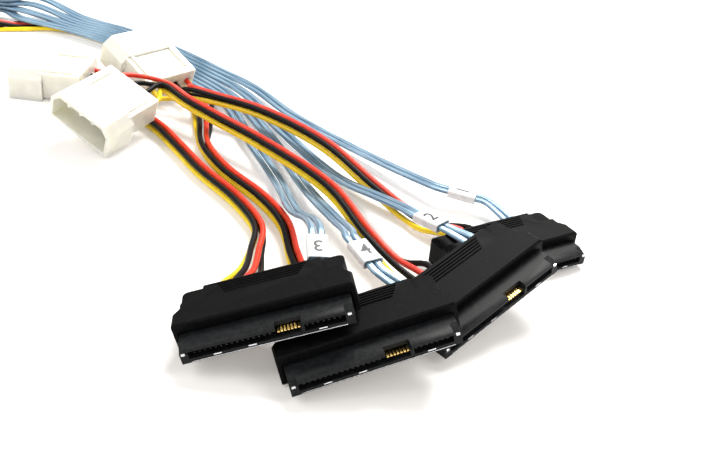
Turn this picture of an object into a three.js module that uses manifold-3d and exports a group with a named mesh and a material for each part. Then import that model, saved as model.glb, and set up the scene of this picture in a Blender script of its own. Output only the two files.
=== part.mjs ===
// Fan-out end of an external storage cable: four drive connectors, each fed by
// a labelled pair of flat data ribbons and by four power wires from its own
// four-pin power housing. The ribbons leave a boot on one round jacket, which
// is coiled and ends in its external plug.
// Millimetres, +Z up. The origin is the middle of the rest face under
// connector 1. The photograph looks along +Y from the -Y side.
import * as THREE from 'three';
import { mergeVertices } from 'three/addons/utils/BufferGeometryUtils.js';
import Module from 'manifold-3d';

const wasm = await Module();
wasm.setup();

// ---- sizes of the drive connector (u across, v to the rear, w up) ----
const fit = 0.3;              // running clearance between separate pieces
const floorGap = 0.3;         // cords lie this far above the table
const hoodWidth = 43.5;       // over the flared front
const hoodRearWidth = 40.5;
const hoodLength = 15;
const hoodHeight = 8.2;
const hoodFlareEnd = 7;       // v where the flare has come in to the rear width
const hoodFlareRun = 2;
const hoodCornerRadius = 1.5;
const hoodChamfer = 0.45;
const hoodStepIn = 5.5;       // lower shoulders left and right of the raised middle
const hoodStepDrop = 1;
const hoodStepLength = 6;
const gripCount = 5;
const gripPitch = 0.95;
const gripWidth = 0.45;
const gripHeight = 0.35;
const gripLength = 22;        // the rearmost rib; each one before it is shorter
const gripShrink = 0.45;

const receptacleWidth = 40.8;
const receptacleReach = 6.1;  // how far it stands out of the hood
const receptacleSeat = 2.7;   // how far it sits in the hood
const receptacleBottom = 1.3;
const receptacleHeight = 4.1;
const slotWidth = 36.8;
const slotBottom = 2.4;
const slotHeight = 1.8;
const slotDepth = 7.4;
const slotKeyWidth = 0.9;     // solid key between signal and power contacts
const windowStart = 2.2;      // cut in the top wall over the second data port
const windowWidth = 6.2;
const windowDepth = 2.2;
const mouthChamfer = 0.9;
const postWidth = 1.9;        // sloped guide post at each end
const postSlopeRun = 3;
const postSlopeDrop = 1.4;

const contactThickness = 0.3;
const contactWidth = 0.5;
const contactLength = 6;
const carrierWidth = 0.7;
const contactSetback = 0.6;   // blade tips behind the slot's mouth
const powerContacts = 15;
const dataContacts = 7;
const widePitch = 1.27;
const finePitch = 0.8;
const powerContactStart = -17;
const fineContactStart = 2.8;
const dataContactStart = 9.5;

// ---- cords ----
const wireDiameter = 1.7;
const wirePitch = 2.25;       // wires in one group lie this far apart
const wireSides = 8;
const wireStep = 7;
const wireEntryWidth = 2.4;
const wireEntryDepth = 2;
const wireEntryHeight = 4.1;
const wireEntries = [-11.4, -8.2, -5.3, -2.1];
const ribbonWidth = 2;
const ribbonThickness = 1.2;
const ribbonGap = 0.35;       // between the two ribbons of one pair
const ribbonStep = 9;
const ribbonEntry = 13.3;     // middle of the pair on the hood's rear face
const ribbonEntryHeight = 3;
const ribbonEntryPitch = 2.6;
const sleeveClearance = 0.35;
const sleeveWall = 0.35;
const sleeveLength = 8.6;

// ---- four-pin power housing (same local axes, open front at v = 0) ----
const shroudWidth = 24.6;
const shroudThickness = 11;
const shroudLength = 11.7;
const shroudWall = 1.2;
const shroudCornerCut = 3;    // the two keyed corners
const blockWidth = 21.3;
const blockThickness = 9.1;
const housingLength = 24.9;
const pinPitch = 5.08;
const pinDiameter = 2.1;
const pinRecess = 3;          // pin tips behind the shroud's mouth
const pinSeat = 4;            // pins reach this far into the block
const pinPoint = 0.8;
const busLength = 1.4;        // hidden strip that carries the four pins in the block
const busHeight = 1;
const housingBore = 2.6;
const housingBoreDepth = 2.6;
const ribWidth = 1.2;
const ribHeight = 0.6;

// ---- jacket, boot and plug ----
const jacketDiameter = 8;
const jacketSides = 12;
const bootFrontDiameter = 11;
const bootRearDiameter = 9.6;
const bootLength = 26;
const bootGrooves = 4;
const bootGrooveWidth = 1.6;
const bootGrooveDepth = 0.6;
const coilRadius = 44;
const coilTurns = 2.25;
const coilRise = 8.4;
const plugWidth = 23.8;
const plugHeight = 11.6;
const plugLength = 34;
const plugChamfer = 1.2;
const noseWidth = 20.4;
const noseHeight = 7.4;
const noseLength = 12;
const noseWall = 0.8;
const boardThickness = 1;
const boardInset = 1.2;
const padCount = 13;
const padPitch = 1.04;
const padWidth = 0.6;
const padThickness = 0.1;
const latchWidth = 12;
const latchLength = 30;
const latchThickness = 0.5;
const latchLift = 1.6;
const reliefLength = 14;

// ---- where the rigid pieces lie: place, then yaw, pitch and roll in degrees ----
const connectorPoses = {
  3: { at: [-58.84, -56.84, 8.5], turn: [7.47, -2.28, -18.36] },
  4: { at: [-34.67, -59.08, 6.1], turn: [17.33, -2.36, -15.69] },
  2: { at: [-6.6, -32.98, 5.9], turn: [43.73, -1.01, -15.66] },
  1: { at: [4.17, -6.23, 0], turn: [33.77, 0, 0] },
};
const housingPoses = {
  3: { at: [-168.5, 84.5, 0], turn: [-91, 0, 0] },
  4: { at: [-212, 98, 0], turn: [-12, 0, 0] },
  2: { at: [-134.23, 39.29, 4.85], turn: [-28.18, 6.59, 19.72] },
  1: { at: [-133.4, 99.4, 10.4], turn: [-130, -21, 0] },
};

// Bundle of all four pairs from the boot, and each pair's lane across it.
const bootFront = [-203, 151, 5.8];
const bundleSpine = [[-188, 150], [-170, 146], [-146, 135], [-124.5, 120.5], [-105.5, 105]];
const bundleLift = 3;
const lanePitch = 4.9;
const pairLanes = { 3: 1.5, 4: 0.5, 2: -0.5, 1: -1.5 };
const layerPitch = 1.55;
// After the bundle: free points, then the start and end of the label sleeve.
const pairRoutes = {
  3: [[-94.5, 83, 3], [-81, 55, 3], [-68, 28, 3], [-59.5, 0, 8.6], [-54, -14.5, 15]],
  4: [[-91, 86, 3], [-73.5, 56, 3], [-58, 22, 4], [-48, -4, 10], [-43.6, -17, 14]],
  2: [[-88.5, 92, 3], [-70, 62, 3], [-50, 34, 3], [-37, 17, 7], [-30, 7, 10]],
  1: [[-86, 98, 3], [-68, 76, 3], [-44, 54, 3], [-25, 36, 4.6]],
};
const sleevePlaces = {
  3: { from: [-51.4, -26.6, 16.8], to: [-50.2, -34.6, 15.6] },
  4: { from: [-41.2, -23.4, 14.5], to: [-36.4, -30.8, 13.7] },
  2: { from: [-24.4, 0.6, 11.2], to: [-17.8, -5, 11.6] },
  1: { from: [-14, 28.5, 5.2], to: [-5.8, 26.2, 4.8] },
};
// Power groups, from the housing to the connector. The fourth number is how far
// the four wires are laid out flat: 0 is two over two, 1 is side by side. A fifth
// one spreads them wider.
const groupRoutes = {
  3: [[-130, 75.5, 3.2, 0, 1.4], [-123, 68, 2.7, 0, 1.15], [-117, 61.5, 2.6, 0], [-110.5, 54.5, 2.6, 0], [-102, 43, 2.6, 0],
    [-92, 29, 2.6, 0], [-77.5, 12, 2.6, 0], [-69.5, -2, 2.6, 0], [-68.5, -16, 3.6, 0.2], [-68, -29, 6.4, 0.6]],
  4: [[-200.5, 133.5, 3, 0, 1.4], [-189.5, 140.3, 1.2, 0.95, 1.1], [-177, 144, 1.2, 1], [-163, 142.5, 1.2, 1], [-146, 134, 1.2, 1],
    [-125, 118.5, 1.2, 1], [-109, 101, 1.2, 1], [-102, 82, 1.2, 1], [-98, 63, 2.2, 0.4], [-94, 46, 2.6, 0],
    [-85, 31, 2.6, 0], [-71, 15.5, 2.6, 0], [-62.5, 2, 2.6, 0], [-58, -14, 2.6, 0], [-53, -29, 4.2, 0.5]],
  2: [[-113, 69.6, 12, 0], [-104, 64.5, 9.6, 0], [-91, 54, 9, 0], [-76, 42, 8.6, 0], [-51, 16, 8.4, 0],
    [-38.5, -7, 7.4, 0], [-30.5, -18.5, 6.8, 0.6]],
  1: [[-106, 75.5, 8.2, 0, 1.4], [-94, 70.3, 9, 0], [-79, 64, 9, 0], [-55, 45, 8.4, 0], [-37, 25, 5, 0],
    [-27.5, 16, 3, 0.2], [-20.5, 9.5, 3.2, 0.6]],
};

const coilCentre = [-284, 101];
const tailEnd = [0, -62, 0];   // the plug's strain relief, seen from the coil's side

const colours = {
  hood: 0x171717, receptacle: 0x3b3d3e, contact: 0xd8a93a, label: 0xf4f4f0,
  nylon: 0xf3efe2, pin: 0xc9ccd0, ribbon: 0x8fb0cf, red: 0xe83c20,
  yellow: 0xf6d61a, black: 0x1b1b19, jacket: 0x141414, boot: 0x1c1c1c,
  metal: 0xb9bcc0, board: 0x1f6b3a,
};

const group = new THREE.Group();
group.name = 'external_sas_cable';

function add(name, geometry, colour) {
  const plain = geometry.index ? geometry.toNonIndexed() : geometry;
  plain.deleteAttribute('uv');
  plain.computeVertexNormals();
  const mesh = new THREE.Mesh(plain, new THREE.MeshStandardMaterial({ color: colours[colour] }));
  mesh.name = name;
  group.add(mesh);
}

// Solids for adding and cutting.
function solid(geometry) {
  const bare = geometry.clone();
  bare.deleteAttribute('normal');
  bare.deleteAttribute('uv');
  const welded = mergeVertices(bare, 1e-4);
  return new wasm.Manifold(new wasm.Mesh({
    numProp: 3,
    vertProperties: new Float32Array(welded.attributes.position.array),
    triVerts: new Uint32Array(welded.index.array),
  }));
}

function surface(manifold) {
  const mesh = manifold.getMesh();
  const geometry = new THREE.BufferGeometry();
  geometry.setAttribute('position', new THREE.BufferAttribute(new Float32Array(mesh.vertProperties), 3));
  geometry.setIndex(new THREE.BufferAttribute(new Uint32Array(mesh.triVerts), 1));
  return geometry;
}

function block(x0, x1, y0, y1, z0, z1) {
  const box = new THREE.BoxGeometry(x1 - x0, y1 - y0, z1 - z0);
  box.translate((x0 + x1) / 2, (y0 + y1) / 2, (z0 + z1) / 2);
  return solid(box);
}

// A round bar or bore along v.
function round(diameter, v0, v1, u, w, sides = 10) {
  const bar = new THREE.CylinderGeometry(diameter / 2, diameter / 2, v1 - v0, sides);
  bar.translate(u, (v0 + v1) / 2, w);
  return solid(bar);
}

// A side profile in v and w, carried across from u0 to u1.
function across(profile, u0, u1) {
  const shape = new THREE.Shape(profile.map(([v, w]) => new THREE.Vector2(v, w)));
  const bar = new THREE.ExtrudeGeometry(shape, { depth: u1 - u0, bevelEnabled: false });
  const turned = new THREE.Matrix4().makeBasis(
    new THREE.Vector3(0, 1, 0), new THREE.Vector3(0, 0, 1), new THREE.Vector3(1, 0, 0));
  bar.applyMatrix4(turned);
  bar.translate(u0, 0, 0);
  return solid(bar);
}

// A plan outline carried up from w0 to w1 with a small chamfer at both ends.
function upward(shape, w0, w1, chamfer) {
  const body = new THREE.ExtrudeGeometry(shape, {
    depth: w1 - w0 - 2 * chamfer, bevelEnabled: chamfer > 0, bevelSize: chamfer,
    bevelThickness: chamfer, bevelOffset: -chamfer, bevelSegments: 1, curveSegments: 3,
  });
  body.translate(0, 0, w0 + chamfer);
  return solid(body);
}

function poseMatrix({ at, turn }) {
  const [yaw, pitch, roll] = turn.map(THREE.MathUtils.degToRad);
  const matrix = new THREE.Matrix4().makeRotationZ(yaw);
  matrix.multiply(new THREE.Matrix4().makeRotationX(pitch));
  matrix.multiply(new THREE.Matrix4().makeRotationY(roll));
  matrix.setPosition(...at);
  return matrix;
}

// ---- drive connector ----
const halfWide = hoodWidth / 2;
const halfRear = hoodRearWidth / 2;
const receptacleTop = receptacleBottom + receptacleHeight;
const slotTop = slotBottom + slotHeight;

function hoodSolid() {
  const outline = new THREE.Shape();
  outline.moveTo(-halfWide, 0);
  outline.lineTo(halfWide, 0);
  outline.lineTo(halfWide, hoodFlareEnd - hoodFlareRun);
  outline.lineTo(halfRear, hoodFlareEnd);
  outline.lineTo(halfRear, hoodLength - hoodCornerRadius);
  outline.absarc(halfRear - hoodCornerRadius, hoodLength - hoodCornerRadius, hoodCornerRadius, 0, Math.PI / 2);
  outline.lineTo(-halfRear + hoodCornerRadius, hoodLength);
  outline.absarc(-halfRear + hoodCornerRadius, hoodLength - hoodCornerRadius, hoodCornerRadius, Math.PI / 2, Math.PI);
  outline.lineTo(-halfRear, hoodFlareEnd);
  outline.lineTo(-halfWide, hoodFlareEnd - hoodFlareRun);
  let hood = upward(outline, 0, hoodHeight, hoodChamfer);
  const pocketHalf = receptacleWidth / 2 + fit;
  hood = hood.subtract(block(-pocketHalf, pocketHalf, -1, receptacleSeat + fit,
    receptacleBottom - fit, receptacleTop + fit));
  for (const side of [-1, 1]) {
    const edge = side * (halfRear - hoodStepIn);
    const far = side * (halfWide + 1);
    hood = hood.subtract(block(Math.min(edge, far), Math.max(edge, far),
      hoodLength - hoodStepLength, hoodLength + 1, hoodHeight - hoodStepDrop, hoodHeight + 1));
  }
  for (let i = 0; i < gripCount; i++) {
    const v = hoodLength - 1.5 - i * gripPitch;
    const half = gripLength / 2 - i * gripShrink;
    hood = hood.add(block(-half, half, v - gripWidth / 2, v + gripWidth / 2,
      hoodHeight - hoodChamfer, hoodHeight + gripHeight));
  }
  for (const u of wireEntries) {
    hood = hood.subtract(round(wireEntryWidth, hoodLength - wireEntryDepth, hoodLength + 1, u, wireEntryHeight, 8));
  }
  const ribbonRoom = 1.5 * fit;
  const ribbonHalf = ribbonEntryPitch / 2 + ribbonWidth / 2 + ribbonRoom;
  hood = hood.subtract(block(ribbonEntry - ribbonHalf, ribbonEntry + ribbonHalf,
    hoodLength - wireEntryDepth, hoodLength + 1,
    ribbonEntryHeight - ribbonThickness / 2 - ribbonRoom, ribbonEntryHeight + ribbonThickness / 2 + ribbonRoom));
  return hood;
}

function receptacleSolid() {
  const front = -receptacleReach;
  const half = receptacleWidth / 2;
  const mouth = [
    [front, receptacleBottom],
    [receptacleSeat, receptacleBottom],
    [receptacleSeat, receptacleTop],
    [front + mouthChamfer, receptacleTop],
    [front, receptacleTop - mouthChamfer / 2],
  ];
  let body = across(mouth, -half, half);
  const slotEnd = front + slotDepth;
  const keyEnd = dataContactStart - widePitch / 2;
  body = body.subtract(block(-slotWidth / 2, keyEnd - slotKeyWidth, front - 1, slotEnd, slotBottom, slotTop));
  body = body.subtract(block(keyEnd, slotWidth / 2, front - 1, slotEnd, slotBottom, slotTop));
  const keyStop = front + contactSetback + contactLength - carrierWidth - fit;
  body = body.subtract(block(-slotWidth / 2, slotWidth / 2, keyStop, slotEnd, slotBottom, slotTop));
  body = body.subtract(block(windowStart, windowStart + windowWidth,
    front - 1, front + windowDepth, slotTop - 0.2, receptacleTop + 1));
  const slope = [
    [front - 1, receptacleTop + 1],
    [front - 1, receptacleTop - postSlopeDrop],
    [front, receptacleTop - postSlopeDrop],
    [front + postSlopeRun, receptacleTop],
    [front + postSlopeRun, receptacleTop + 1],
  ];
  for (const side of [-1, 1]) {
    const u0 = side > 0 ? half - postWidth : -half - 1;
    body = body.subtract(across(slope, u0, u0 + postWidth + 1));
  }
  return body;
}

function contactPlaces() {
  const places = [];
  for (let i = 0; i < powerContacts; i++) places.push(powerContactStart + i * widePitch);
  for (let i = 0; i < dataContacts; i++) places.push(fineContactStart + i * finePitch);
  for (let i = 0; i < dataContacts; i++) places.push(dataContactStart + i * widePitch);
  return places;
}

// Sprung blades: they lie just under the slot's top wall and slope down to their tips.
function contactSolid() {
  const tip = -receptacleReach + contactSetback;
  const back = tip + contactLength;
  const top = slotTop - fit / 2;
  const dip = 0.35;
  const blade = [
    [tip, top - dip - contactThickness],
    [back, top - contactThickness],
    [back, top],
    [tip, top - dip],
  ];
  const places = contactPlaces();
  const last = places[places.length - 1];
  // The blades share one carrier strip, which runs behind the key.
  let comb = block(places[0] - contactWidth / 2, last + contactWidth / 2,
    back - carrierWidth, back, top - contactThickness, top);
  for (const u of places) {
    comb = comb.add(across(blade, u - contactWidth / 2, u + contactWidth / 2));
  }
  return comb;
}

// ---- four-pin power housing ----
const wirePositions = [1.5, 0.5, -1.5, -0.5].map((n) => n * pinPitch);   // yellow, black, red, black

function housingSolid() {
  const half = shroudWidth / 2;
  const cut = shroudCornerCut;
  const face = [
    [-half, 0], [half, 0], [half, shroudThickness - cut], [half - cut, shroudThickness],
    [-half + cut, shroudThickness], [-half, shroudThickness - cut],
  ];
  const innerHalf = half - shroudWall;
  const innerTop = shroudThickness - shroudWall;
  const innerCut = cut - shroudWall / 2;
  const hollow = [
    [-innerHalf, shroudWall], [innerHalf, shroudWall], [innerHalf, innerTop - innerCut],
    [innerHalf - innerCut, innerTop], [-innerHalf + innerCut, innerTop], [-innerHalf, innerTop - innerCut],
  ];
  let body = along(face, 0, shroudLength);
  const blockBottom = (shroudThickness - blockThickness) / 2;
  const blockTop = blockBottom + blockThickness;
  body = body.add(block(-blockWidth / 2, blockWidth / 2, shroudLength - shroudWall, housingLength,
    blockBottom, blockTop));
  body = body.subtract(along(hollow, -1, shroudLength));
  for (const side of [-1, 1]) {
    const u = side * (blockWidth / 2 - 2 * ribWidth);
    body = body.add(block(u - ribWidth / 2, u + ribWidth / 2, shroudLength - shroudWall, housingLength - 3,
      blockTop - ribHeight, blockTop + ribHeight));
  }
  const busBack = shroudLength + pinSeat;
  const busHalf = 1.5 * pinPitch + fit;
  body = body.subtract(block(-busHalf, busHalf, busBack - busLength - fit, busBack + fit,
    (shroudThickness - busHeight) / 2 - fit, (shroudThickness + busHeight) / 2 + fit));
  for (const u of wirePositions) {
    body = body.subtract(round(pinDiameter + 2 * fit, shroudLength - 1, shroudLength + pinSeat + fit,
      u, shroudThickness / 2, 8));
    body = body.subtract(round(housingBore, housingLength - housingBoreDepth, housingLength + 1,
      u, shroudThickness / 2, 8));
  }
  return body;
}

// A face outline in u and w, carried back from v0 to v1.
function along(face, v0, v1) {
  const shape = new THREE.Shape(face.map(([u, w]) => new THREE.Vector2(u, w)));
  const bar = new THREE.ExtrudeGeometry(shape, { depth: v1 - v0, bevelEnabled: false });
  bar.rotateX(Math.PI / 2);
  bar.translate(0, v1, 0);
  return solid(bar);
}

function pinsSolid() {
  const radius = pinDiameter / 2;
  const back = shroudLength + pinSeat;
  const profile = [
    new THREE.Vector2(0, pinRecess),
    new THREE.Vector2(radius * 0.45, pinRecess),
    new THREE.Vector2(radius, pinRecess + pinPoint),
    new THREE.Vector2(radius, back),
    new THREE.Vector2(0, back),
  ];
  const reach = 1.5 * pinPitch;
  const middle = shroudThickness / 2;
  let pins = block(-reach, reach, back - busLength, back, middle - busHeight / 2, middle + busHeight / 2);
  for (const u of wirePositions) {
    const pin = new THREE.LatheGeometry(profile, 8);
    pin.translate(u, 0, middle);
    pins = pins.add(solid(pin));
  }
  return pins;
}

// ---- cords ----
const up = new THREE.Vector3(0, 0, 1);

// A route whose flat section stays level, and turns to the connector's own tilt at its end.
class LevelRoute extends THREE.CatmullRomCurve3 {
  constructor(points, endUp = up) {
    super(points, false, 'centripetal');
    this.endUp = endUp;
  }

  computeFrenetFrames(steps) {
    const frames = { tangents: [], normals: [], binormals: [] };
    for (let i = 0; i <= steps; i++) {
      const t = i / steps;
      const tangent = this.getTangentAt(t);
      const tilt = THREE.MathUtils.smoothstep(t, 0.9, 0.99);
      const lift = up.clone().lerp(this.endUp, tilt).normalize();
      const side = new THREE.Vector3().crossVectors(lift, tangent).normalize();
      frames.tangents.push(tangent);
      frames.normals.push(side);
      frames.binormals.push(new THREE.Vector3().crossVectors(tangent, side).normalize());
    }
    return frames;
  }
}

function ellipse(width, height, sides) {
  const points = [];
  for (let i = 0; i < sides; i++) {
    const angle = (i + 0.5) * 2 * Math.PI / sides;
    const grow = 1 / Math.cos(Math.PI / sides);
    points.push(new THREE.Vector2(
      width / 2 * Math.cos(angle) * grow, height / 2 * Math.sin(angle) * grow));
  }
  return points;
}

function sweep(section, points, step, endUp = up) {
  const route = new LevelRoute(points, endUp);
  const steps = Math.max(2, Math.round(route.getLength() / step));
  const shape = new THREE.Shape(section);
  return new THREE.ExtrudeGeometry(shape, { steps, bevelEnabled: false, extrudePath: route });
}

// Unit vector to the right of travel at point i of a route, level.
function rightOf(points, i) {
  const before = points[Math.max(0, i - 1)];
  const after = points[Math.min(points.length - 1, i + 1)];
  const run = new THREE.Vector2(after[0] - before[0], after[1] - before[1]).normalize();
  return new THREE.Vector3(run.y, -run.x, 0);
}

const vector = (p) => new THREE.Vector3(p[0], p[1], p[2]);

// Offsets of the four wires of a group: two over two when flat is 0, a row when it is 1.
function wireOffset(wire, flat, spread = 1) {
  const angle = flat * Math.PI / 2;
  const side = wire < 2 ? 1 : -1;
  const inner = wire === 1 || wire === 2;
  const pitch = wirePitch * spread;
  const level = pitch / 2 * Math.cos(angle);
  if (inner) return [side * pitch / 2, level];
  return [side * (pitch / 2 + pitch * Math.sin(angle)), -level];
}

function wirePoints(id, wire) {
  const housing = poseMatrix(housingPoses[id]);
  const hood = poseMatrix(connectorPoses[id]);
  const start = housingLength - housingBoreDepth + fit;
  const end = hoodLength - wireEntryDepth + fit;
  const middle = shroudThickness / 2;
  const points = [start, housingLength + 1, housingLength + 4.5].map(
    (v) => new THREE.Vector3(wirePositions[wire], v, middle).applyMatrix4(housing));
  const route = groupRoutes[id];
  route.forEach((p, i) => {
    const [side, lift] = wireOffset(wire, p[3], p[4]);
    const point = vector(p).addScaledVector(rightOf(route, i), side);
    point.z += lift;
    points.push(point);
  });
  for (const v of [hoodLength + 4.5, hoodLength + 1, end]) {
    points.push(new THREE.Vector3(wireEntries[wire], v, wireEntryHeight).applyMatrix4(hood));
  }
  return points;
}

function pairCentre(id) {
  const lane = pairLanes[id];
  const stackHeight = bootFront[2] - lane * layerPitch;
  const points = [[bootFront[0] + fit, bootFront[1], stackHeight], [bootFront[0] + 4, bootFront[1] - 0.3, stackHeight]];
  bundleSpine.forEach((p, i) => {
    const shift = rightOf(bundleSpine, i).multiplyScalar(lane * lanePitch);
    const height = i === 0 ? stackHeight : bundleLift;
    points.push([p[0] + shift.x, p[1] + shift.y, height]);
  });
  points.push(...pairRoutes[id]);
  const { from, to } = sleevePlaces[id];
  const dir = vector(to).sub(vector(from)).normalize();
  const first = vector(from).addScaledVector(dir, -3.6);
  const last = vector(to).addScaledVector(dir, 3);
  points.push(first.toArray(), from, to, last.toArray());
  return points;
}

function ribbonPoints(id, side) {
  const centre = pairCentre(id);
  const shift = side * (ribbonWidth + ribbonGap) / 2;
  const straight = centre.length - 4;
  const points = centre.map((p, i) => {
    const at = Math.max(i, 0);
    const right = i >= straight ? rightOf(centre.slice(straight), 1) : rightOf(centre, at);
    return vector(p).addScaledVector(right, shift);
  });
  const hood = poseMatrix(connectorPoses[id]);
  const u = ribbonEntry - side * ribbonEntryPitch / 2;
  for (const v of [hoodLength + 4, hoodLength + 0.8, hoodLength - wireEntryDepth + fit]) {
    points.push(new THREE.Vector3(u, v, ribbonEntryHeight).applyMatrix4(hood));
  }
  return points;
}

function roundedSection(width, height, radius) {
  const shape = new THREE.Shape();
  const x = width / 2 - radius;
  const y = height / 2 - radius;
  shape.absarc(x, y, radius, 0, Math.PI / 2);
  shape.absarc(-x, y, radius, Math.PI / 2, Math.PI);
  shape.absarc(-x, -y, radius, Math.PI, 1.5 * Math.PI);
  shape.absarc(x, -y, radius, 1.5 * Math.PI, 2 * Math.PI);
  return shape;
}

function sleeveGeometry(id) {
  const innerWidth = 2 * ribbonWidth + ribbonGap + 2 * sleeveClearance;
  const innerHeight = ribbonThickness + 2 * sleeveClearance;
  const { from, to } = sleevePlaces[id];
  const middle = vector(from).add(vector(to)).multiplyScalar(0.5);
  const dir = vector(to).sub(vector(from)).normalize();
  const ends = [-sleeveLength / 2, 0, sleeveLength / 2].map((d) => middle.clone().addScaledVector(dir, d));
  const options = { steps: 1, bevelEnabled: false, curveSegments: 2, extrudePath: new LevelRoute(ends) };
  const outer = roundedSection(innerWidth + 2 * sleeveWall, innerHeight + 2 * sleeveWall, sleeveWall + 0.5);
  const inner = roundedSection(innerWidth, innerHeight, 0.5);
  outer.holes.push(new THREE.Path(inner.getPoints(2).reverse()));
  return new THREE.ExtrudeGeometry(outer, options);
}

// ---- boot, jacket, coil and plug ----
const bootDirection = new THREE.Vector3(-1, 0.05, -0.03).normalize();
const bootBack = vector(bootFront).addScaledVector(bootDirection, bootLength);
const coilZ = jacketDiameter / 2 + floorGap;

function turned(profile, start, direction) {
  const body = new THREE.LatheGeometry(profile.map(([r, y]) => new THREE.Vector2(r, y)), jacketSides);
  body.applyQuaternion(new THREE.Quaternion().setFromUnitVectors(new THREE.Vector3(0, 1, 0), direction));
  body.translate(start.x, start.y, start.z);
  return body;
}

function bootGeometry() {
  const profile = [[0, 0], [bootFrontDiameter / 2 - 0.6, 0], [bootFrontDiameter / 2, 0.8]];
  const radiusAt = (y) => bootFrontDiameter / 2
    + (bootRearDiameter - bootFrontDiameter) / 2 * Math.max(0, (y - 8) / (bootLength - 8));
  for (let i = 0; i < bootGrooves; i++) {
    const y = 9 + i * 2.2 * bootGrooveWidth;
    profile.push([radiusAt(y), y], [radiusAt(y) - bootGrooveDepth, y + 0.1],
      [radiusAt(y) - bootGrooveDepth, y + bootGrooveWidth], [radiusAt(y), y + bootGrooveWidth + 0.1]);
  }
  profile.push([bootRearDiameter / 2, bootLength], [0, bootLength]);
  return turned(profile, vector(bootFront), bootDirection);
}

const jacketOut = coilRadius + jacketDiameter + 0.4;
const coilTop = new THREE.Vector3(coilCentre[0], coilCentre[1] + jacketOut, coilZ);
const coilHeight = coilTurns * coilRise;
const tailStart = new THREE.Vector3(coilCentre[0] - jacketOut, coilCentre[1], coilZ + coilHeight);
const reliefStart = new THREE.Vector3(
  tailStart.x + tailEnd[0], tailStart.y + tailEnd[1], plugHeight / 2 + floorGap);

function coilGeometry() {
  const inner = coilRadius - jacketDiameter / 2;
  const outer = coilRadius + jacketDiameter / 2;
  const top = coilHeight + jacketDiameter;
  const cut = jacketDiameter * 0.3;
  const profile = [
    [inner, floorGap + cut], [inner + cut, floorGap], [outer - cut, floorGap], [outer, floorGap + cut],
    [outer, top - cut], [outer - cut, top], [inner + cut, top], [inner, top - cut], [inner, floorGap + cut],
  ].map(([r, z]) => new THREE.Vector2(r, z));
  const ring = new THREE.LatheGeometry(profile, 36);
  ring.rotateX(Math.PI / 2);
  ring.translate(coilCentre[0], coilCentre[1], 0);
  return ring;
}

// The plug in its own axes: v = 0 at the strain relief's rear, the nose points to +v.
function plugBody() {
  const half = plugWidth / 2;
  const cut = plugChamfer;
  const face = [
    [-half + cut, 0], [half - cut, 0], [half, cut], [half, plugHeight - cut],
    [half - cut, plugHeight], [-half + cut, plugHeight], [-half, plugHeight - cut], [-half, cut],
  ];
  let body = along(face, reliefLength, reliefLength + plugLength);
  const rear = reliefLength + plugLength;
  const boardWide = noseWidth - 2 * noseWall - 2 * boardInset;
  body = body.subtract(block(-boardWide / 2 - fit, boardWide / 2 + fit, rear - 3, rear + 1,
    plugHeight / 2 - boardThickness / 2 - fit, plugHeight / 2 + boardThickness / 2 + fit));
  const guide = latchWidth / 2 + fit;
  body = body.subtract(block(-guide, guide, rear - latchLength + 6, rear + 1,
    plugHeight - latchThickness - fit, plugHeight + 1));
  const frontBar = block(-half + cut, half - cut, reliefLength + 3, reliefLength + 4, plugHeight - 0.2, plugHeight + 0.5);
  return body.add(frontBar).add(frontBar.translate(0, 2, 0)).add(frontBar.translate(0, 4, 0));
}

function plugNose() {
  const v0 = reliefLength + plugLength + fit;
  const bottom = (plugHeight - noseHeight) / 2;
  const half = noseWidth / 2;
  const shell = block(-half, half, v0, v0 + noseLength, bottom, bottom + noseHeight);
  return shell.subtract(block(-half + noseWall, half - noseWall, v0 - 1, v0 + noseLength + 1,
    bottom + noseWall, bottom + noseHeight - noseWall));
}

function plugBoard() {
  const v1 = reliefLength + plugLength + noseLength - 1;
  const half = noseWidth / 2 - noseWall - boardInset;
  const w = plugHeight / 2;
  let board = block(-half, half, reliefLength + plugLength - 3 + fit, v1, w - boardThickness / 2, w + boardThickness / 2);
  for (let i = 0; i < padCount; i++) {
    const u = (i - (padCount - 1) / 2) * padPitch;
    const raised = boardThickness / 2 + padThickness;
    board = board.add(block(u - padWidth / 2, u + padWidth / 2, v1 - 5.4, v1 - 0.4, w - raised, w + raised));
  }
  return board;
}

// The sprung latch plate: it lies in its groove and rises towards the rear.
function plugLatch() {
  const front = reliefLength + plugLength + noseLength * 0.5;
  const back = front - latchLength;
  const low = plugHeight - latchThickness;
  const ramp = [
    [front, low + 0.1], [back + 8, low + 0.1], [back, low + latchLift],
    [back, low + latchLift + latchThickness], [back + 8, low + 0.1 + latchThickness],
    [front, low + 0.1 + latchThickness],
  ];
  return across(ramp, -latchWidth / 2, latchWidth / 2);
}

function reliefSolid() {
  const length = reliefLength - fit;
  const profile = [[0, 0], [jacketDiameter / 2 + 0.7, 0], [jacketDiameter / 2 + 1.3, length - 2],
    [jacketDiameter / 2 + 1.3, length], [0, length]];
  const cone = new THREE.LatheGeometry(profile.map(([r, y]) => new THREE.Vector2(r, y)), jacketSides);
  cone.translate(0, 0, plugHeight / 2);
  return solid(cone);
}

// ---- build everything ----
const hoodPart = hoodSolid();
const receptaclePart = receptacleSolid();
const contactPart = contactSolid();
const housingPart = housingSolid();
const pinPart = pinsSolid();
const wireColours = ['yellow', 'black', 'red', 'black'];
const wireNames = ['yellow', 'black_a', 'red', 'black_b'];

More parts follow.
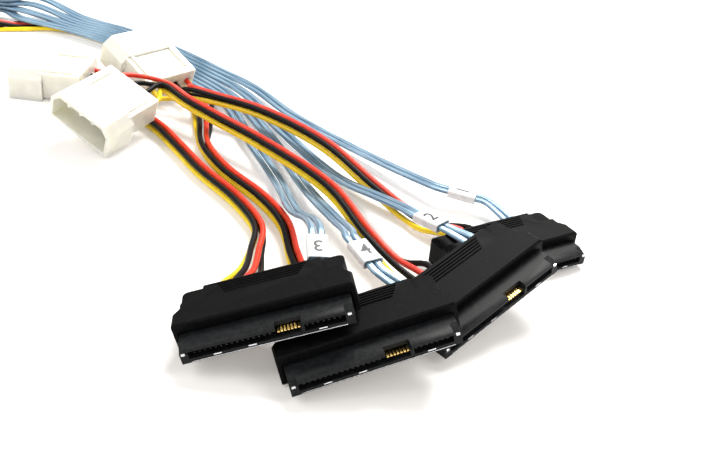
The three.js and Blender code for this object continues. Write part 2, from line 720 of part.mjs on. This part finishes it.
for (const id of [1, 2, 3, 4]) {
  const pose = poseMatrix(connectorPoses[id]);
  add(`hood_${id}`, surface(hoodPart).applyMatrix4(pose), 'hood');
  add(`receptacle_${id}`, surface(receptaclePart).applyMatrix4(pose), 'receptacle');
  add(`contacts_${id}`, surface(contactPart).applyMatrix4(pose), 'contact');
  const lie = poseMatrix(housingPoses[id]);
  add(`power_housing_${id}`, surface(housingPart).applyMatrix4(lie), 'nylon');
  add(`power_pins_${id}`, surface(pinPart).applyMatrix4(lie), 'pin');
  add(`label_sleeve_${id}`, sleeveGeometry(id), 'label');
  const hoodUp = up.clone().transformDirection(pose);
  for (const [name, side] of [['a', 1], ['b', -1]]) {
    add(`ribbon_${id}_${name}`,
      sweep(ellipse(ribbonWidth, ribbonThickness, 8), ribbonPoints(id, side), ribbonStep, hoodUp), 'ribbon');
  }
  for (let wire = 0; wire < 4; wire++) {
    add(`wire_${id}_${wireNames[wire]}`,
      sweep(ellipse(wireDiameter, wireDiameter, wireSides), wirePoints(id, wire), wireStep), wireColours[wire]);
  }
}

add('boot', bootGeometry(), 'boot');
const jacketSection = ellipse(jacketDiameter, jacketDiameter, jacketSides);
const jacketStart = bootBack.clone().addScaledVector(bootDirection, fit);
const jacketMiddle = jacketStart.clone().lerp(coilTop, 0.5);
add('jacket_lead', sweep(jacketSection, [jacketStart, jacketMiddle, coilTop], jacketDiameter * 2.5), 'jacket');
add('jacket_coil', coilGeometry(), 'jacket');
const tailPoints = [
  tailStart,
  new THREE.Vector3(tailStart.x, tailStart.y - 16, tailStart.z - 2),
  new THREE.Vector3(reliefStart.x, reliefStart.y + 26, reliefStart.z + 3),
  new THREE.Vector3(reliefStart.x, reliefStart.y + 9, reliefStart.z),
  new THREE.Vector3(reliefStart.x, reliefStart.y + fit, reliefStart.z),
];
add('jacket_tail', sweep(jacketSection, tailPoints, jacketDiameter * 1.5), 'jacket');
const plugPose = new THREE.Matrix4().makeRotationZ(Math.PI);
plugPose.setPosition(reliefStart.x, reliefStart.y, floorGap);
add('plug_relief', surface(reliefSolid()).applyMatrix4(plugPose), 'boot');
add('plug_body', surface(plugBody()).applyMatrix4(plugPose), 'metal');
add('plug_nose', surface(plugNose()).applyMatrix4(plugPose), 'metal');
add('plug_board', surface(plugBoard()).applyMatrix4(plugPose), 'board');
add('plug_latch', surface(plugLatch()).applyMatrix4(plugPose), 'metal');

export default group;
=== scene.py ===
# Looks for the fan-out data cable: materials, cords as smooth tubes, label
# digits, floor, lamps and camera. Metres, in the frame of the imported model.
import math
import bpy
import bmesh
from mathutils import Matrix, Vector


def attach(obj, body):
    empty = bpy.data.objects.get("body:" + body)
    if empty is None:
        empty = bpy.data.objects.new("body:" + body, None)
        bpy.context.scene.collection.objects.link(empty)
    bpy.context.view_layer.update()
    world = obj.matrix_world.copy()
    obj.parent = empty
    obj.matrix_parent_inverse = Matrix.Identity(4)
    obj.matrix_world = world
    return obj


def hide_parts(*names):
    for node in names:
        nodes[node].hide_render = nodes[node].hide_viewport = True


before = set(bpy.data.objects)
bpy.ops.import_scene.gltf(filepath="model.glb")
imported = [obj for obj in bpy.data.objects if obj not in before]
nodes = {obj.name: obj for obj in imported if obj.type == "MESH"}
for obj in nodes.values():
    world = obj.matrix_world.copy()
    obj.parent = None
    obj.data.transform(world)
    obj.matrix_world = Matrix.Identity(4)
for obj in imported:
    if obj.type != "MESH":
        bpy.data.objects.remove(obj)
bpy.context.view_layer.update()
MM = 0.001
UP = Vector((0, 0, 1))
NUMBERS = (1, 2, 3, 4)      # one connector, housing, label and pair of ribbons each

# ---- sizes and places, as in the model (millimetres) ----
HOOD_LENGTH = 15
WIRE = 1.7
WIRE_PITCH = 2.25
ENTRY_DEPTH = 2
WIRE_ENTRY_HEIGHT = 4.1
WIRE_ENTRIES = [-11.4, -8.2, -5.3, -2.1]
RIBBON_WIDTH = 2
RIBBON_THICKNESS = 1.2
RIBBON_GAP = 0.35
RIBBON_ENTRY = 13.3
RIBBON_ENTRY_HEIGHT = 3
RIBBON_ENTRY_PITCH = 2.6
FIT = 0.3
LEAD_OUT = 4.5
SLEEVE_RUN_IN = 3.6
SLEEVE_RUN_OUT = 3
SLEEVE_CLEARANCE = 0.35
SLEEVE_WALL = 0.35
SHROUD_THICKNESS = 11
HOUSING_LENGTH = 24.9
HOUSING_BORE_DEPTH = 2.6
PIN_PITCH = 5.08
WIRE_POSITIONS = [n * PIN_PITCH for n in (1.5, 0.5, -1.5, -0.5)]

CONNECTORS = {
    3: ((-58.84, -56.84, 8.5), (7.47, -2.28, -18.36)),
    4: ((-34.67, -59.08, 6.1), (17.33, -2.36, -15.69)),
    2: ((-6.6, -32.98, 5.9), (43.73, -1.01, -15.66)),
    1: ((4.17, -6.23, 0), (33.77, 0, 0)),
}
HOUSINGS = {
    3: ((-168.5, 84.5, 0), (-91, 0, 0)),
    4: ((-212, 98, 0), (-12, 0, 0)),
    2: ((-134.23, 39.29, 4.85), (-28.18, 6.59, 19.72)),
    1: ((-133.4, 99.4, 10.4), (-130, -21, 0)),
}
BOOT_FRONT = (-203, 151, 5.8)
SPINE = [(-188, 150), (-170, 146), (-146, 135), (-124.5, 120.5), (-105.5, 105)]
BUNDLE_LIFT = 3
LANE_PITCH = 4.9
LANES = {3: 1.5, 4: 0.5, 2: -0.5, 1: -1.5}
LAYER_PITCH = 1.55
PAIRS = {
    3: [(-94.5, 83, 3), (-81, 55, 3), (-68, 28, 3), (-59.5, 0, 8.6), (-54, -14.5, 15)],
    4: [(-91, 86, 3), (-73.5, 56, 3), (-58, 22, 4), (-48, -4, 10), (-43.6, -17, 14)],
    2: [(-88.5, 92, 3), (-70, 62, 3), (-50, 34, 3), (-37, 17, 7), (-30, 7, 10)],
    1: [(-86, 98, 3), (-68, 76, 3), (-44, 54, 3), (-25, 36, 4.6)],
}
SLEEVES = {
    3: ((-51.4, -26.6, 16.8), (-50.2, -34.6, 15.6)),
    4: ((-41.2, -23.4, 14.5), (-36.4, -30.8, 13.7)),
    2: ((-24.4, 0.6, 11.2), (-17.8, -5, 11.6)),
    1: ((-14, 28.5, 5.2), (-5.8, 26.2, 4.8)),
}
GROUPS = {
    3: [(-130, 75.5, 3.2, 0, 1.4), (-123, 68, 2.7, 0, 1.15), (-117, 61.5, 2.6, 0), (-110.5, 54.5, 2.6, 0),
        (-102, 43, 2.6, 0), (-92, 29, 2.6, 0), (-77.5, 12, 2.6, 0), (-69.5, -2, 2.6, 0),
        (-68.5, -16, 3.6, 0.2), (-68, -29, 6.4, 0.6)],
    4: [(-200.5, 133.5, 3, 0, 1.4), (-189.5, 140.3, 1.2, 0.95, 1.1), (-177, 144, 1.2, 1),
        (-163, 142.5, 1.2, 1), (-146, 134, 1.2, 1), (-125, 118.5, 1.2, 1), (-109, 101, 1.2, 1),
        (-102, 82, 1.2, 1), (-98, 63, 2.2, 0.4), (-94, 46, 2.6, 0), (-85, 31, 2.6, 0), (-71, 15.5, 2.6, 0),
        (-62.5, 2, 2.6, 0), (-58, -14, 2.6, 0), (-53, -29, 4.2, 0.5)],
    2: [(-113, 69.6, 12, 0), (-104, 64.5, 9.6, 0), (-91, 54, 9, 0), (-76, 42, 8.6, 0), (-51, 16, 8.4, 0),
        (-38.5, -7, 7.4, 0), (-30.5, -18.5, 6.8, 0.6)],
    1: [(-106, 75.5, 8.2, 0, 1.4), (-94, 70.3, 9, 0), (-79, 64, 9, 0), (-55, 45, 8.4, 0), (-37, 25, 5, 0),
        (-27.5, 16, 3, 0.2), (-20.5, 9.5, 3.2, 0.6)],
}
JACKET = 8
COIL_RADIUS = 44
COIL_TURNS = 2.25
COIL_RISE = 8.4
COIL_CENTRE = (-284, 101)
BOOT_LENGTH = 26
TAIL_RUN = 62
PLUG_HEIGHT = 11.6


# ---- camera, at the photograph's angle ----
PHOTO_WIDTH = 714
FOCAL_PIXELS = 948.4
SENSOR = 36
CAMERA_PLACE = (-41.54, -232.68, 144.7)
CAMERA_PITCH = 30.8
CAMERA_ROLL = 6.06


def pose_matrix(place, turn):
    yaw, pitch, roll = (math.radians(a) for a in turn)
    spin = Matrix.Rotation(yaw, 4, "Z") @ Matrix.Rotation(pitch, 4, "X") @ Matrix.Rotation(roll, 4, "Y")
    return Matrix.Translation(place) @ spin


def photo_camera():
    data = bpy.data.cameras.new("photo_camera")
    data.lens = FOCAL_PIXELS / PHOTO_WIDTH * SENSOR
    data.sensor_width = SENSOR
    data.clip_start = 0.01
    camera = bpy.data.objects.new("photo_camera", data)
    bpy.context.scene.collection.objects.link(camera)
    pitch = math.radians(CAMERA_PITCH)
    roll = math.radians(CAMERA_ROLL)
    forward = Vector((0, math.cos(pitch), -math.sin(pitch)))
    right = Vector((1, 0, 0))
    above = right.cross(forward)
    across = right * math.cos(roll) + above * math.sin(roll)
    lift = -right * math.sin(roll) + above * math.cos(roll)
    turn = Matrix((across, lift, -forward)).transposed().to_4x4()
    camera.matrix_world = Matrix.Translation(Vector(CAMERA_PLACE) * MM) @ turn
    bpy.context.scene.camera = camera


photo_camera()


# ---- materials ----
COAT_ROUGHNESS = 0.15
SCATTER_RADIUS = (0.003, 0.003, 0.002)
RELIEF_DEPTH = 0.0002


def link(tree, a, b):
    tree.links.new(a, b)


def material(name, dark, light, rough=(0.4, 0.5), metal=0.0, noise_scale=900, stretch=(1, 1, 1), bump=0.0,
             bump_scale=3000, coat=0.0, through=0.0, spec=0.5, along=False):
    """A noise-driven material; along=True runs its noise down the length of a cord, for the ribbons' painted
    sheen streaks.
    """
    made = bpy.data.materials.new(name)
    made.use_nodes = True
    tree = made.node_tree
    shader = tree.nodes["Principled BSDF"]
    shader.inputs["Metallic"].default_value = metal
    shader.inputs["Coat Weight"].default_value = coat
    shader.inputs["Coat Roughness"].default_value = COAT_ROUGHNESS
    shader.inputs["Specular IOR Level"].default_value = spec
    shader.inputs["Subsurface Weight"].default_value = through
    shader.inputs["Subsurface Radius"].default_value = SCATTER_RADIUS
    shader.inputs["Subsurface Scale"].default_value = 1.0
    place = tree.nodes.new("ShaderNodeTexCoord")
    shift = tree.nodes.new("ShaderNodeMapping")
    shift.inputs["Scale"].default_value = stretch
    link(tree, place.outputs["UV" if along else "Object"], shift.inputs["Vector"])
    noise = tree.nodes.new("ShaderNodeTexNoise")
    noise.inputs["Scale"].default_value = noise_scale
    noise.inputs["Detail"].default_value = 4
    link(tree, shift.outputs["Vector"], noise.inputs["Vector"])
    ramp = tree.nodes.new("ShaderNodeValToRGB")
    ramp.color_ramp.elements[0].position = 0.35
    ramp.color_ramp.elements[0].color = (*dark, 1)
    ramp.color_ramp.elements[1].position = 0.65
    ramp.color_ramp.elements[1].color = (*light, 1)
    link(tree, noise.outputs["Fac"], ramp.inputs["Fac"])
    link(tree, ramp.outputs["Color"], shader.inputs["Base Color"])
    span = tree.nodes.new("ShaderNodeMapRange")
    span.inputs["To Min"].default_value = rough[0]
    span.inputs["To Max"].default_value = rough[1]
    link(tree, noise.outputs["Fac"], span.inputs["Value"])
    link(tree, span.outputs["Result"], shader.inputs["Roughness"])
    if bump:
        fine = tree.nodes.new("ShaderNodeTexNoise")
        fine.inputs["Scale"].default_value = bump_scale
        fine.inputs["Detail"].default_value = 3
        link(tree, shift.outputs["Vector"], fine.inputs["Vector"])
        relief = tree.nodes.new("ShaderNodeBump")
        relief.inputs["Strength"].default_value = bump
        relief.inputs["Distance"].default_value = RELIEF_DEPTH
        link(tree, fine.outputs["Fac"], relief.inputs["Height"])
        link(tree, relief.outputs["Normal"], shader.inputs["Normal"])
    return made


LOOKS = {
    "hood": material("hood_plastic", (0.0018, 0.0018, 0.002), (0.004, 0.004, 0.0045), (0.5, 0.62), bump=0.3,
                     bump_scale=2600, spec=0.07),
    "receptacle": material("receptacle_plastic", (0.005, 0.0055, 0.006), (0.011, 0.012, 0.013), (0.42, 0.56),
                           bump=0.25, spec=0.16),
    "contact": material("gold_contact", (0.72, 0.45, 0.12), (0.95, 0.68, 0.25), (0.18, 0.32), metal=1.0),
    "label": material("label_sleeve", (0.68, 0.68, 0.67), (0.78, 0.78, 0.77), (0.35, 0.5), noise_scale=400,
                      bump=0.15, bump_scale=900),
    "nylon": material("natural_nylon", (0.70, 0.68, 0.60), (0.79, 0.77, 0.69), (0.26, 0.4), noise_scale=200,
                      through=0.6, bump=0.1, bump_scale=700),
    "pin": material("tinned_pin", (0.6, 0.6, 0.61), (0.8, 0.8, 0.82), (0.2, 0.35), metal=1.0),
    # The ribbon film's light and dark streaks along its length are painted sheen.
    "ribbon": material("ribbon_film", (0.085, 0.175, 0.265), (0.30, 0.44, 0.56), (0.24, 0.4), noise_scale=4,
                       metal=0.3, coat=0.3, stretch=(18, 2.2, 1), bump=0.12, bump_scale=6, along=True),
    "wire_red": material("red_insulation", (0.72, 0.028, 0.008), (0.84, 0.045, 0.012), (0.28, 0.42),
                         noise_scale=300, bump=0.08),
    "wire_yellow": material("yellow_insulation", (0.86, 0.58, 0.005), (0.95, 0.68, 0.012), (0.28, 0.42),
                            noise_scale=300, bump=0.08),
    "wire_black": material("black_insulation", (0.003, 0.003, 0.003), (0.006, 0.006, 0.006), (0.36, 0.48),
                           spec=0.14, noise_scale=300, bump=0.08),
    "jacket": material("black_jacket", (0.012, 0.012, 0.012), (0.022, 0.022, 0.022), (0.45, 0.6), noise_scale=300,
                       bump=0.2),
    "boot": material("boot_rubber", (0.012, 0.012, 0.012), (0.024, 0.024, 0.024), (0.5, 0.65), bump=0.3),
    "plug_metal": material("plated_shell", (0.5, 0.51, 0.52), (0.66, 0.67, 0.68), (0.25, 0.4), metal=1.0,
                           stretch=(1, 12, 1), bump=0.1),
    "board": material("board_green", (0.01, 0.10, 0.035), (0.02, 0.16, 0.055), (0.3, 0.45)),
}


# ---- rigid pieces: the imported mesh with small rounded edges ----
WELD_DISTANCE = 2e-6
FLAT_ANGLE = math.radians(1.5)
BEVEL_ANGLE = math.radians(32)
SMOOTH_ANGLE = math.radians(34)
FINE_CONTACTS = (2.4, 8.0)
# Near-black painted shade for the contacts that lie in the slot's shade.
PAINTED_SHADE_CONTACT = material("shaded_contact", (0.010, 0.008, 0.005), (0.02, 0.015, 0.009), (0.5, 0.65), metal=0.3)


def dress(name, look, bevel=0.12, segments=2):
    source = nodes[name]
    mesh = source.data.copy()
    mesh.name = name + "_look"
    work = bmesh.new()
    work.from_mesh(mesh)
    bmesh.ops.remove_doubles(work, verts=work.verts, dist=WELD_DISTANCE)
    bmesh.ops.dissolve_limit(work, angle_limit=FLAT_ANGLE, verts=work.verts, edges=work.edges)
    work.to_mesh(mesh)
    work.free()
    mesh.materials.clear()
    mesh.materials.append(LOOKS[look])
    piece = bpy.data.objects.new(name + "_look", mesh)
    bpy.context.scene.collection.objects.link(piece)
    if bevel:
        edge = piece.modifiers.new("edge", "BEVEL")
        edge.width = bevel * MM
        edge.segments = segments
        edge.limit_method = "ANGLE"
        edge.angle_limit = BEVEL_ANGLE
        edge.harden_normals = True
    for face in mesh.polygons:
        face.use_smooth = True
    mesh.set_sharp_from_angle(angle=SMOOTH_ANGLE)
    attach(piece, "root")
    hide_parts(name)
    return piece


def shade_contacts(piece, i):
    """The seven fine contacts keep the gold; the others get a near-black painted shade for the slot's shade.
    """
    piece.data.materials.append(PAINTED_SHADE_CONTACT)
    back = pose_matrix(*CONNECTORS[i]).inverted()
    for face in piece.data.polygons:
        u = (back @ (face.center / MM)).x
        face.material_index = 0 if FINE_CONTACTS[0] < u < FINE_CONTACTS[1] else 1


for i in NUMBERS:
    dress(f"hood_{i}", "hood", 0.18)
    dress(f"receptacle_{i}", "receptacle", 0.1)
    shade_contacts(dress(f"contacts_{i}", "contact", 0.04, 1), i)
    dress(f"power_housing_{i}", "nylon", 0.25, 3)
    dress(f"power_pins_{i}", "pin", 0.0)
    dress(f"label_sleeve_{i}", "label", 0.06, 1)
dress("boot", "boot", 0.15)


# Painted highlights on a receptacle's front: across, height, width and thickness of each.
LIP_HIGHLIGHTS = (
    (-11.8, 2.24, 1.9, 0.3),
    (-3.6, 2.24, 1.9, 0.3),
    (12.9, 2.24, 1.9, 0.3),
    (0.2, 1.62, 36.6, 0.13),
    (19.5, 4.2, 0.9, 0.55),
    (-19.5, 3.9, 0.9, 0.55),
)
LIP_FRONT = -6.1
LIP_HIGHLIGHT_DEPTH = 0.3


def lip_tabs(i):
    """Painted highlights: the lower lip's lit edge, three glints along the lip and the guide posts' tips."""
    pose = pose_matrix(*CONNECTORS[i])
    work = bmesh.new()
    for u, height, wide, tall in LIP_HIGHLIGHTS:
        made = bmesh.ops.create_cube(work, size=1)["verts"]
        for vert in made:
            v = LIP_FRONT + vert.co.y * LIP_HIGHLIGHT_DEPTH
            local = Vector((u + vert.co.x * wide, v, height + vert.co.z * tall))
            vert.co = (pose @ local) * MM
    mesh = bpy.data.meshes.new(f"lip_tabs_{i}")
    work.to_mesh(mesh)
    work.free()
    mesh.materials.append(LOOKS["pin"])
    piece = bpy.data.objects.new(f"lip_tabs_{i}", mesh)
    bpy.context.scene.collection.objects.link(piece)
    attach(piece, "root")


for i in NUMBERS:
    lip_tabs(i)
plug = [dress("plug_relief", "boot", 0.2), dress("plug_body", "plug_metal", 0.25),
        dress("plug_nose", "plug_metal", 0.08), dress("plug_board", "board", 0.0),
        dress("plug_latch", "plug_metal", 0.06)]


# ---- cords ----
SPLINE_STEPS = 24
TURN_START = 0.9
TURN_RUN = 0.09


def spline_points(points, count):
    """The centripetal curve that the model's cords follow."""
    found = []
    last = len(points) - 1
    for k in range(last):
        p1, p2 = points[k], points[k + 1]
        p0 = points[k - 1] if k > 0 else p1 + (p1 - p2)
        p3 = points[k + 2] if k + 2 <= last else p2 + (p2 - p1)
        d0 = max((p1 - p0).length ** 0.5, 1e-4)
        d1 = max((p2 - p1).length ** 0.5, 1e-4)
        d2 = max((p3 - p2).length ** 0.5, 1e-4)
        t1 = ((p1 - p0) / d0 - (p2 - p0) / (d0 + d1) + (p2 - p1) / d1) * d1
        t2 = ((p2 - p1) / d1 - (p3 - p1) / (d1 + d2) + (p3 - p2) / d2) * d1
        for j in range(count):
            s = j / count
            a = 2 * s ** 3 - 3 * s ** 2 + 1
            b = s ** 3 - 2 * s ** 2 + s
            c = -2 * s ** 3 + 3 * s ** 2
            d = s ** 3 - s ** 2
            found.append(p1 * a + t1 * b + p2 * c + t2 * d)
    found.append(points[last].copy())
    return found


def even(points, step):
    """The same line at even steps."""
    total = sum((b - a).length for a, b in zip(points, points[1:]))
    count = max(4, round(total / step))
    out = [points[0]]
    goal = total / count
    walked = 0
    for a, b in zip(points, points[1:]):
        run = (b - a).length
        while walked + run >= goal - 1e-9 and len(out) < count:
            out.append(a.lerp(b, (goal - walked) / run))
            goal += total / count
        walked += run
    out.append(points[-1])
    return out, total


def right_of(points, i):
    a = points[max(0, i - 1)]
    b = points[min(len(points) - 1, i + 1)]
    run = Vector((b[0] - a[0], b[1] - a[1])).normalized()
    return Vector((run.y, -run.x, 0))


def wire_offset(wire, flat, spread=1):
    angle = flat * math.pi / 2
    side = 1 if wire < 2 else -1
    pitch = WIRE_PITCH * spread
    level = pitch / 2 * math.cos(angle)
    if wire in (1, 2):
        return side * pitch / 2, level
    return side * (pitch / 2 + pitch * math.sin(angle)), -level


def wire_points(i, wire):
    housing = pose_matrix(*HOUSINGS[i])
    hood = pose_matrix(*CONNECTORS[i])
    exits = (HOUSING_LENGTH - HOUSING_BORE_DEPTH + FIT, HOUSING_LENGTH + 1, HOUSING_LENGTH + LEAD_OUT)
    points = [housing @ Vector((WIRE_POSITIONS[wire], v, SHROUD_THICKNESS / 2)) for v in exits]
    route = GROUPS[i]
    for k, p in enumerate(route):
        side, lift = wire_offset(wire, *p[3:])
        points.append(Vector(p[:3]) + right_of(route, k) * side + UP * lift)
    for v in (HOOD_LENGTH + LEAD_OUT, HOOD_LENGTH + 1, HOOD_LENGTH - ENTRY_DEPTH + FIT):
        points.append(hood @ Vector((WIRE_ENTRIES[wire], v, WIRE_ENTRY_HEIGHT)))
    return points


def pair_centre(i):
    lane = LANES[i]
    stack = BOOT_FRONT[2] - lane * LAYER_PITCH
    points = [(BOOT_FRONT[0] + FIT, BOOT_FRONT[1], stack), (BOOT_FRONT[0] + 4, BOOT_FRONT[1] - 0.3, stack)]
    for k, p in enumerate(SPINE):
        shift = right_of(SPINE, k) * lane * LANE_PITCH
        points.append((p[0] + shift.x, p[1] + shift.y, stack if k == 0 else BUNDLE_LIFT))
    points += PAIRS[i]
    start, end = (Vector(p) for p in SLEEVES[i])
    along = (end - start).normalized()
    before = start - along * SLEEVE_RUN_IN
    after = end + along * SLEEVE_RUN_OUT
    points += [tuple(before), tuple(start), tuple(end), tuple(after)]
    return points


def ribbon_points(i, side):
    centre = pair_centre(i)
    shift = side * (RIBBON_WIDTH + RIBBON_GAP) / 2
    straight = len(centre) - 4
    points = []
    for k, p in enumerate(centre):
        right = right_of(centre[straight:], 1) if k >= straight else right_of(centre, k)
        points.append(Vector(p) + right * shift)
    hood = pose_matrix(*CONNECTORS[i])
    u = RIBBON_ENTRY - side * RIBBON_ENTRY_PITCH / 2
    for v in (HOOD_LENGTH + 4, HOOD_LENGTH + 0.8, HOOD_LENGTH - ENTRY_DEPTH + FIT):
        points.append(hood @ Vector((u, v, RIBBON_ENTRY_HEIGHT)))
    return points


def tube(name, points, section, end_up=UP, step=1.6):
    """A closed tube of the given section along the route, kept level."""
    line, total = even(spline_points(points, SPLINE_STEPS), step)
    count = len(line)
    verts = []
    faces = []
    sides = len(section)
    for k, p in enumerate(line):
        tangent = (line[min(count - 1, k + 1)] - line[max(0, k - 1)]).normalized()
        t = k / (count - 1)
        s = min(1, max(0, (t - TURN_START) / TURN_RUN))
        lift = UP.lerp(end_up, s * s * (3 - 2 * s)).normalized()
        side = lift.cross(tangent).normalized()
        over = tangent.cross(side).normalized()
        verts += [(p + side * x + over * y) * MM for x, y in section]
    for k in range(count - 1):
        for j in range(sides):
            a = k * sides + j
            b = k * sides + (j + 1) % sides
            faces.append((a, b, b + sides, a + sides))
    faces.append(tuple(reversed(range(sides))))
    faces.append(tuple(range((count - 1) * sides, count * sides)))
    mesh = bpy.data.meshes.new(name)
    mesh.from_pydata(verts, [], faces)
    # Metres along the cord and turns round it, for painted sheen streaks that follow the cord.
    chart = mesh.uv_layers.new(name="along")
    for face in mesh.polygons:
        face.use_smooth = len(face.vertices) == 4
        for corner in face.loop_indices:
            vertex = mesh.loops[corner].vertex_index
            chart.data[corner].uv = (vertex // sides * step * MM, vertex % sides / sides)
    mesh.update()
    piece = bpy.data.objects.new(name, mesh)
    bpy.context.scene.collection.objects.link(piece)
    return piece, [p * MM for p in line], total * MM


def ring_section(width, height, sides):
    return [(width / 2 * math.cos(2 * math.pi * j / sides), height / 2 * math.sin(2 * math.pi * j / sides))
            for j in range(sides)]


def flat_section():
    """Two cores under one film: flat top and bottom, round edges."""
    r = RIBBON_THICKNESS / 2
    x = RIBBON_WIDTH / 2 - r
    right = [(x + r * math.cos(a), r * math.sin(a)) for a in (-1.2, -0.6, 0, 0.6, 1.2)]
    left = [(-u, w) for u, w in reversed(right)]
    waist = r * 0.86
    return right + [(x, r), (0, waist), (-x, r)] + left + [(-x, -r), (0, -waist), (x, -r)]


WIRE_LOOKS = [
    ("yellow", "wire_yellow"),
    ("black_a", "wire_black"),
    ("red", "wire_red"),
    ("black_b", "wire_black"),
]
for i in NUMBERS:
    for wire, (colour, look) in enumerate(WIRE_LOOKS):
        piece, line, length = tube(f"cord_{i}_{colour}", wire_points(i, wire), ring_section(WIRE, WIRE, 14))
        piece.data.materials.append(LOOKS[look])
        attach(piece, "root")
        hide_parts(f"wire_{i}_{colour}")
    hood_up = pose_matrix(*CONNECTORS[i]).to_3x3() @ UP
    for part, side in (("a", 1), ("b", -1)):
        piece, line, length = tube(f"film_{i}_{part}", ribbon_points(i, side), flat_section(), hood_up)
        piece.data.materials.append(LOOKS["ribbon"])
        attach(piece, "root")
        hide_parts(f"ribbon_{i}_{part}")


# The round jacket: lead, two and a quarter turns, and the tail to the plug.
def jacket_line():
    out = Vector((-1, 0.05, -0.03)).normalized()
    start = Vector(BOOT_FRONT) + out * (BOOT_LENGTH + FIT)
    low = JACKET / 2 + FIT
    reach = COIL_RADIUS + JACKET + 0.4
    centre = Vector((*COIL_CENTRE, 0))
    line = [start, start.lerp(centre + Vector((22, reach, low)), 0.5), centre + Vector((22, reach, low))]
    # It comes in beside the ring and runs on round it, one turn above another.
    steps = 60
    for k in range(steps + 1):
        t = k / steps
        angle = math.pi / 2 + 2 * math.pi * COIL_TURNS * t
        ease = min(1, t * COIL_TURNS * 4, (1 - t) * COIL_TURNS * 4)
        radius = reach + (COIL_RADIUS - reach) * ease * ease * (3 - 2 * ease)
        height = low + COIL_TURNS * COIL_RISE * t
        line.append(centre + Vector((radius * math.cos(angle), radius * math.sin(angle), height)))
    end = centre + Vector((-reach, -TAIL_RUN, PLUG_HEIGHT / 2 + FIT))
    line.append(Vector((end.x, centre.y - 16, line[-1].z - 2)))
    line.append(end + Vector((0, 26, 3)))
    line.append(end + Vector((0, 9, 0)))
    line.append(end + Vector((0, FIT, 0)))
    return line


piece, line, length = tube("round_jacket", jacket_line(), ring_section(JACKET, JACKET, 24), step=4)
piece.data.materials.append(LOOKS["jacket"])
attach(piece, "root")
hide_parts("jacket_lead", "jacket_coil", "jacket_tail")


# ---- the digit on each label sleeve ----
DIGIT_SIZE = 5.8
DIGIT_WEIGHT = 0.09
DIGIT_DEPTH = 0.01
DIGIT_GAP = 0.02
ink = material("label_ink", (0.012, 0.012, 0.014), (0.03, 0.03, 0.032), (0.4, 0.6))
for i in NUMBERS:
    start, end = (Vector(p) for p in SLEEVES[i])
    along = (end - start).normalized()
    side = along.cross(UP).normalized()
    over = side.cross(along).normalized()
    letter = bpy.data.curves.new(f"digit_{i}", "FONT")
    letter.body = str(i)
    letter.size = DIGIT_SIZE * MM
    letter.offset = DIGIT_WEIGHT * MM
    letter.align_x = "CENTER"
    letter.align_y = "CENTER"
    letter.extrude = DIGIT_DEPTH * MM
    letter.materials.append(ink)
    mark = bpy.data.objects.new(f"digit_{i}", letter)
    bpy.context.scene.collection.objects.link(mark)
    # The third label is read from the other end of its cord.
    facing = 1 if i == 3 else -1
    turn = Matrix((side * facing, along * facing, over)).transposed().to_4x4()
    lift = RIBBON_THICKNESS / 2 + SLEEVE_CLEARANCE + SLEEVE_WALL + DIGIT_GAP
    mark.matrix_world = Matrix.Translation(((start + end) / 2 + over * lift) * MM) @ turn
    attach(mark, "root")


# ---- floor, lamps ----
FLOOR_REACH = 3
FLOOR_GLOW = 0.24
AMBIENT = 0.38


def floor():
    size = FLOOR_REACH
    mesh = bpy.data.meshes.new("floor")
    mesh.from_pydata([(-size, -size, 0), (size, -size, 0), (size, size, 0), (-size, size, 0)], [],
                     [(0, 1, 2, 3)])
    table = bpy.data.objects.new("floor", mesh)
    bpy.context.scene.collection.objects.link(table)
    cover = material("table", (0.86, 0.85, 0.835), (0.88, 0.87, 0.86), (0.55, 0.65), noise_scale=6)
    tree = cover.node_tree
    path = tree.nodes.new("ShaderNodeLightPath")
    glow = tree.nodes.new("ShaderNodeMath")
    glow.operation = "MULTIPLY"
    glow.inputs[1].default_value = FLOOR_GLOW
    link(tree, path.outputs["Is Camera Ray"], glow.inputs[0])
    shader = tree.nodes["Principled BSDF"]
    shader.inputs["Emission Color"].default_value = (1, 0.93, 0.84, 1)
    link(tree, glow.outputs["Value"], shader.inputs["Emission Strength"])
    mesh.materials.append(cover)


def lamp(name, place, power, size, aim=(-0.06, 0.02, 0), tint=(1, 1, 1)):
    data = bpy.data.lights.new(name, "AREA")
    data.shape = "RECTANGLE"
    data.size = size[0]
    data.size_y = size[1]
    data.energy = power
    data.color = tint
    item = bpy.data.objects.new(name, data)
    bpy.context.scene.collection.objects.link(item)
    item.location = place
    item.rotation_euler = (Vector(aim) - Vector(place)).to_track_quat("-Z", "Y").to_euler()


floor()
lamp("back_softbox", (0.1, 0.5, 0.7), 12, (0.5, 0.35), tint=(1, 0.98, 0.95))
lamp("left_softbox", (-0.7, -0.15, 0.6), 3.2, (0.5, 0.5))
lamp("right_softbox", (0.6, -0.2, 0.65), 2.4, (0.5, 0.5))
lamp("front_strip", (-0.05, -0.6, 0.35), 0.8, (0.5, 0.12))

world = bpy.data.worlds.new("studio")
bpy.context.scene.world = world
world.use_nodes = True
background = world.node_tree.nodes["Background"]
background.inputs["Color"].default_value = (1, 1, 1, 1)
background.inputs["Strength"].default_value = AMBIENT
bpy.context.scene.view_settings.view_transform = "Standard"
